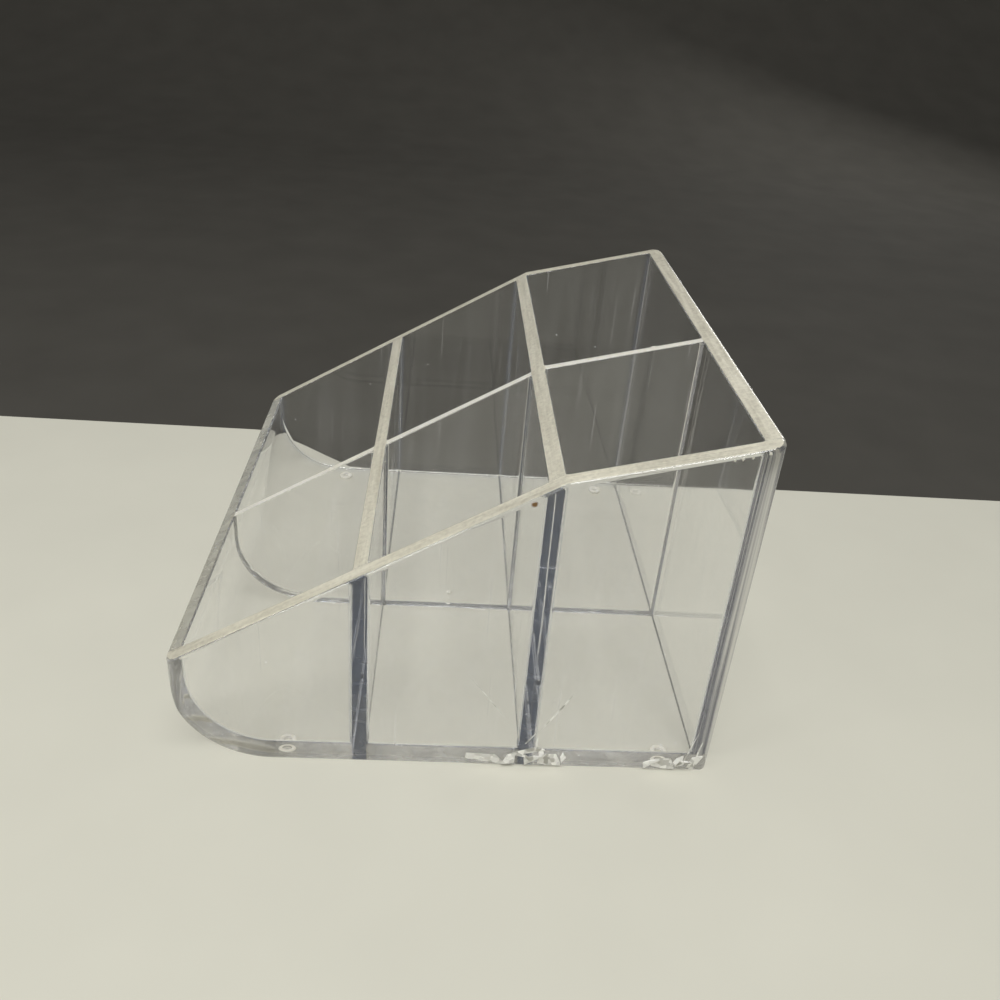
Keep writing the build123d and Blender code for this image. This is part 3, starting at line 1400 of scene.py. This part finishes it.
class ORGANIZER_OT_fillets(bpy.types.Operator):
    """Fillets of cement in the inner corners, drawn along them by a geometry tree"""

    bl_idname = "organizer.fillets"
    bl_label = "Fillets"

    def execute(self, context):
        sizes = context.scene.organizer_sizes
        materials = sheet_materials(context)
        points, numbers, legs = [], [], []
        for number, (path, leg) in enumerate(fillet_paths(sizes)):
            points += path
            numbers += [number] * len(path)
            legs += [leg] * len(path)
        name = "corner_fillets"
        start = bpy.data.meshes.new(name)
        start.from_pydata(points, [], [])
        note(start, "path", "INT", numbers)
        note(start, "leg", "FLOAT_VECTOR", legs)
        values = {"Fillet radius": sizes.fillet, "Material": materials[polished]}
        mesh = grown(context, name, start, fillet_tree(), fillet_section(sizes), values)
        fillets = bmesh.new()
        fillets.from_mesh(mesh)
        bmesh.ops.remove_doubles(fillets, verts=fillets.verts, dist=merge_distance)
        bmesh.ops.recalc_face_normals(fillets, faces=fillets.faces)
        mark_welded(fillets, sizes, nowhere)
        fillets.to_mesh(mesh)
        fillets.free()
        add_piece(context, name, mesh, materials, [])
        return {"FINISHED"}


def foot_shape(sunk):
    """A foot of unit radius and height: a flat ring round a dished middle, with its top sunk into the floor.

    Its section is given as shares of radius and height, and the faces of the ring are noted as rim.
    """
    dish = 0.25
    middle = 0.44
    ring_start = 0.5
    bottom = [(middle, dish), (0.56, 0), (0.84, 0), (1, 0.4)]
    top = [(1, 1), (0.9, sunk), (0.54, sunk), (middle, sunk - dish)]
    profile = bottom + top
    shape = bmesh.new()
    rim = shape.faces.layers.bool.new("rim")
    rings = []
    for step in range(foot_steps):
        angle = 2 * math.pi * step / foot_steps
        turned = [(reach * math.cos(angle), reach * math.sin(angle), up) for reach, up in profile]
        rings.append([shape.verts.new(point) for point in turned])
    for ring, following in zip(rings, rings[1:] + rings[:1]):
        for at in range(len(profile) - 1):
            face = shape.faces.new((ring[at], following[at], following[at + 1], ring[at + 1]))
            face[rim] = (profile[at][0] + profile[at + 1][0]) / 2 > ring_start
    shape.faces.new([ring[0] for ring in rings])
    shape.faces.new([ring[-1] for ring in rings])
    bmesh.ops.recalc_face_normals(shape, faces=shape.faces)
    return plain_mesh(shape, "foot_shape")


class ORGANIZER_OT_feet(bpy.types.Operator):
    """Four small feet with a satin ring round a clear middle, and the pip under the middle of the floor"""

    bl_idname = "organizer.feet"
    bl_label = "Feet"

    def execute(self, context):
        sizes = context.scene.organizer_sizes
        colours = context.scene.organizer_colours
        low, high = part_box(feet[0])
        radius = (high.x - low.x) / 2
        height = high.z - low.z
        unturned = (0, 0, 0)
        pip_size = (radius * pip_share, radius * pip_share, height * pip_share)
        places = [((*pip_place, base - pip_share * height), unturned, pip_size)]
        for node in feet:
            low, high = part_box(node)
            point = ((low.x + high.x) / 2, (low.y + high.y) / 2, low.z)
            places.append((point, unturned, (radius, radius, height)))
        foot = foot_shape((height + sizes.foot_sink) / height)
        materials = [polished_acrylic(colours), satin_ring(colours)]
        mesh = stamped(context, "feet", foot, places, *materials)
        add_piece(context, "feet", mesh, materials, feet)
        return {"FINISHED"}


def shard(name, corners, seed):
    """An angular splinter of unit size: the hull round a few points on the walls of a cube."""
    chance = random.Random(seed)
    splinter = bmesh.new()
    for corner in range(corners):
        direction = Vector((chance.uniform(-1, 1), chance.uniform(-1, 1), chance.uniform(-1, 1)))
        splinter.verts.new(direction / max(abs(part) for part in direction))
    hull = bmesh.ops.convex_hull(splinter, input=splinter.verts)
    bmesh.ops.delete(splinter, geom=hull["geom_interior"], context="VERTS")
    bmesh.ops.recalc_face_normals(splinter, faces=splinter.faces)
    return plain_mesh(splinter, name)


class ORGANIZER_OT_knocks(bpy.types.Operator):
    """Crazed places along the right side's base, with their cracks, and burrs on the rims"""

    bl_idname = "organizer.knocks"
    bl_label = "Knocks and burrs"

    def execute(self, context):
        colours = context.scene.organizer_colours
        crazed = crazed_acrylic(colours)
        places = []
        for across, depth, up, tilt, size in knocks + cracks:
            point = Vector((across, depth, up)) * millimetre
            places.append((point, (math.radians(tilt), 0, 0), Vector(size) * millimetre))
        for number, seed in enumerate(shard_seeds, start=1):
            name = f"crazed_knocks_{number}"
            shape = shard(f"crazed_shard_{number}", shard_corners, seed)
            mesh = stamped(context, name, shape, places[number - 1::len(shard_seeds)], crazed, crazed)
            add_piece(context, name, mesh, [crazed], [])
        rim = satin_ring(colours)
        places = []
        for across, depth, drop, size in burrs:
            depth *= millimetre
            point = (across * millimetre, depth, rim_height(depth) - drop * millimetre)
            # Any turn will do for a burr, so its own numbers give one
            turn = (across, depth, drop)
            places.append((point, turn, Vector(size) * millimetre))
        mesh = stamped(context, "rim_burrs", shard("burr_shape", burr_corners, burr_seed), places, rim, rim)
        add_piece(context, "rim_burrs", mesh, [rim], [])
        return {"FINISHED"}


def matte_ground(tree, tone, spacing, detail, contrast, roughness, gloss):
    """Nodes of a dull ground, whose brightness changes by a contrast at a spacing in millimetres."""
    place = add_node(tree, "ShaderNodeTexCoord").outputs["Object"]
    mottle = add_node(
        tree,
        "ShaderNodeTexNoise",
        {"Vector": place, "Scale": per_mm(spacing), "Detail": detail},
    )
    brightness = add_node(
        tree,
        "ShaderNodeMapRange",
        {"Value": mottle, "To Min": 1 - contrast, "To Max": 1 + contrast},
    )
    mottled = add_node(tree, "ShaderNodeHueSaturation", {"Value": brightness, "Color": tone})
    return add_node(
        tree,
        "ShaderNodeBsdfPrincipled",
        {"Base Color": mottled, "Roughness": roughness, "Specular IOR Level": gloss},
    )


def pale_board(colours):
    """Painted board, matte: a plain pale ground with the faintest mottling."""
    return new_material(
        "Painted board, matte",
        matte_ground,
        tone=colours.floor,
        spacing=60,
        detail=3.0,
        contrast=0.05,
        roughness=0.9,
        gloss=0.2,
    )


def dark_felt(colours):
    """Wool felt, dark grey: dull and softly mottled."""
    return new_material(
        "Wool felt, dark grey",
        matte_ground,
        tone=colours.backdrop,
        spacing=40,
        detail=4.0,
        contrast=0.15,
        roughness=0.95,
        gloss=0.1,
    )


def add_ground(context, name, profiles, material):
    """A stretch of the stage through like profiles, each given as its depth and its points in X and Z."""
    mesh = bpy.data.meshes.new(name)
    points = [(across, depth, up) for depth, profile in profiles for across, up in profile]
    count = len(profiles[0][1])
    faces = []
    for row in range(len(profiles) - 1):
        for at in range(row * count, row * count + count - 1):
            faces.append((at, at + 1, at + 1 + count, at + count))
    mesh.from_pydata(points, [], faces)
    mesh.shade_smooth()
    mesh.materials.append(material)
    ground = bpy.data.objects.new(name, mesh)
    context.collection.objects.link(ground)


def board_profiles():
    """Profiles of the pale board, whose left edge lies close to the organizer, but swings away in front."""
    edge = [(-board_reach, board_front_gap)]
    for step in range(swing_steps + 1):
        share = step / swing_steps
        swing = (1 + math.cos(math.pi * share)) / 2
        depth = swing_start + (swing_end - swing_start) * share
        edge.append((depth, board_rear_gap + (board_front_gap - board_rear_gap) * swing))
    edge.append((board_reach, board_rear_gap))
    return [(depth, [(board_reach, board_top), (cad_low.x - gap, board_top)]) for depth, gap in edge]


def felt_profiles():
    """Profiles of the dark felt, which lies under the board and rises in a sweep on the left."""
    sweep = arc((-felt_sweep, felt_top + felt_sweep), felt_sweep, 270, 180, bend_steps)
    felt = [(felt_reach, felt_top)] + sweep + [(-2 * felt_sweep, felt_reach)]
    return [(-felt_reach, felt), (felt_reach, felt)]


def add_softbox(context, name, place, width, height, power):
    """A soft lamp that points at the organizer and isn't seen through it."""
    lamp = bpy.data.lights.new(name, "AREA")
    lamp.shape = "RECTANGLE"
    lamp.size = width
    lamp.size_y = height
    lamp.energy = power
    softbox = bpy.data.objects.new(name, lamp)
    softbox.location = place
    aim = (cad_low + cad_high) / 2 - Vector(place)
    softbox.rotation_euler = aim.to_track_quat("-Z", "Y").to_euler()
    softbox.visible_transmission = False
    softbox.visible_camera = False
    context.collection.objects.link(softbox)


def studio_world(colours):
    """Even fill light, with one tone for what the gloss mirrors and another for what is seen far off."""
    world = bpy.data.worlds.new("Studio")
    world.use_nodes = True
    tree = world.node_tree
    tree.nodes.clear()
    ray = add_node(tree, "ShaderNodeLightPath").outputs
    mirrored = add_node(
        tree,
        "ShaderNodeMix",
        {"Factor": ray["Is Glossy Ray"], "A": colours.fill_light, "B": colours.surroundings},
        data_type="RGBA",
    )
    direct = add_node(
        tree,
        "ShaderNodeMath",
        {0: ray["Is Camera Ray"], 1: ray["Is Transmission Ray"]},
        operation="MAXIMUM",
    )
    seen = add_node(
        tree,
        "ShaderNodeMix",
        {"Factor": direct, "A": mirrored, "B": colours.distance},
        data_type="RGBA",
    )
    background = add_node(tree, "ShaderNodeBackground", {"Color": seen})
    add_node(tree, "ShaderNodeOutputWorld", {"Surface": background})
    return world


def add_camera(context):
    """The camera, placed, aimed and rolled as its settings say."""
    settings = context.scene.organizer_camera
    camera_data = bpy.data.cameras.new("camera")
    camera_data.lens = settings.lens
    camera_data.clip_start = nearest_view
    camera = bpy.data.objects.new("camera", camera_data)
    place = Vector(settings.place)
    look = Vector(settings.target) - place
    camera.location = place
    camera.rotation_mode = "QUATERNION"
    camera.rotation_quaternion = look.to_track_quat("-Z", "Y") @ Quaternion((0, 0, 1), settings.roll)
    context.collection.objects.link(camera)
    context.scene.camera = camera


class ORGANIZER_OT_stage(bpy.types.Operator):
    """Floor, backdrop, lamps, surroundings and camera"""

    bl_idname = "organizer.stage"
    bl_label = "Stage"

    def execute(self, context):
        scene = context.scene
        colours = scene.organizer_colours
        add_ground(context, "pale_floor", board_profiles(), pale_board(colours))
        add_ground(context, "dark_backdrop", felt_profiles(), dark_felt(colours))
        for softbox in softboxes:
            add_softbox(context, *softbox)
        scene.world = studio_world(colours)
        add_camera(context)
        scene.view_settings.view_transform = "Standard"
        scene.cycles.max_bounces = clear_bounces
        scene.cycles.transmission_bounces = clear_bounces
        scene.cycles.glossy_bounces = clear_bounces
        scene.cycles.transparent_max_bounces = joint_bounces
        return {"FINISHED"}


class ORGANIZER_PT_panel(bpy.types.Panel):
    """Sizes, colours and steps of the organizer"""

    bl_idname = "ORGANIZER_PT_panel"
    bl_label = "Clear organizer"
    bl_space_type = "VIEW_3D"
    bl_region_type = "UI"
    bl_category = "Organizer"

    def draw(self, context):
        layout = self.layout
        scene = context.scene
        for group in (scene.organizer_sizes, scene.organizer_colours, scene.organizer_camera):
            box = layout.box()
            for name in group.__annotations__:
                box.prop(group, name)
        for operator in operators:
            layout.operator(operator.bl_idname)


operators = (
    ORGANIZER_OT_side_panels,
    ORGANIZER_OT_front_floor,
    ORGANIZER_OT_back_panel,
    ORGANIZER_OT_cross_dividers,
    ORGANIZER_OT_centre_divider,
    ORGANIZER_OT_fillets,
    ORGANIZER_OT_feet,
    ORGANIZER_OT_knocks,
    ORGANIZER_OT_stage,
)
classes = (OrganizerSizes, OrganizerColours, OrganizerCamera, *operators, ORGANIZER_PT_panel)


def register():
    """Registers the classes and hangs the settings on the scene."""
    for each in classes:
        bpy.utils.register_class(each)
    bpy.types.Scene.organizer_sizes = PointerProperty(type=OrganizerSizes)
    bpy.types.Scene.organizer_colours = PointerProperty(type=OrganizerColours)
    bpy.types.Scene.organizer_camera = PointerProperty(type=OrganizerCamera)


def unregister():
    """Takes the settings and classes away again."""
    del bpy.types.Scene.organizer_camera
    del bpy.types.Scene.organizer_colours
    del bpy.types.Scene.organizer_sizes
    for each in reversed(classes):
        bpy.utils.unregister_class(each)


def main():
    """Builds the organizer and its stage."""
    register()
    bpy.ops.organizer.side_panels()
    bpy.ops.organizer.front_floor()
    bpy.ops.organizer.back_panel()
    bpy.ops.organizer.cross_dividers()
    bpy.ops.organizer.centre_divider()
    bpy.ops.organizer.fillets()
    bpy.ops.organizer.feet()
    bpy.ops.organizer.knocks()
    bpy.ops.organizer.stage()


if __name__ == "__main__":
    main()
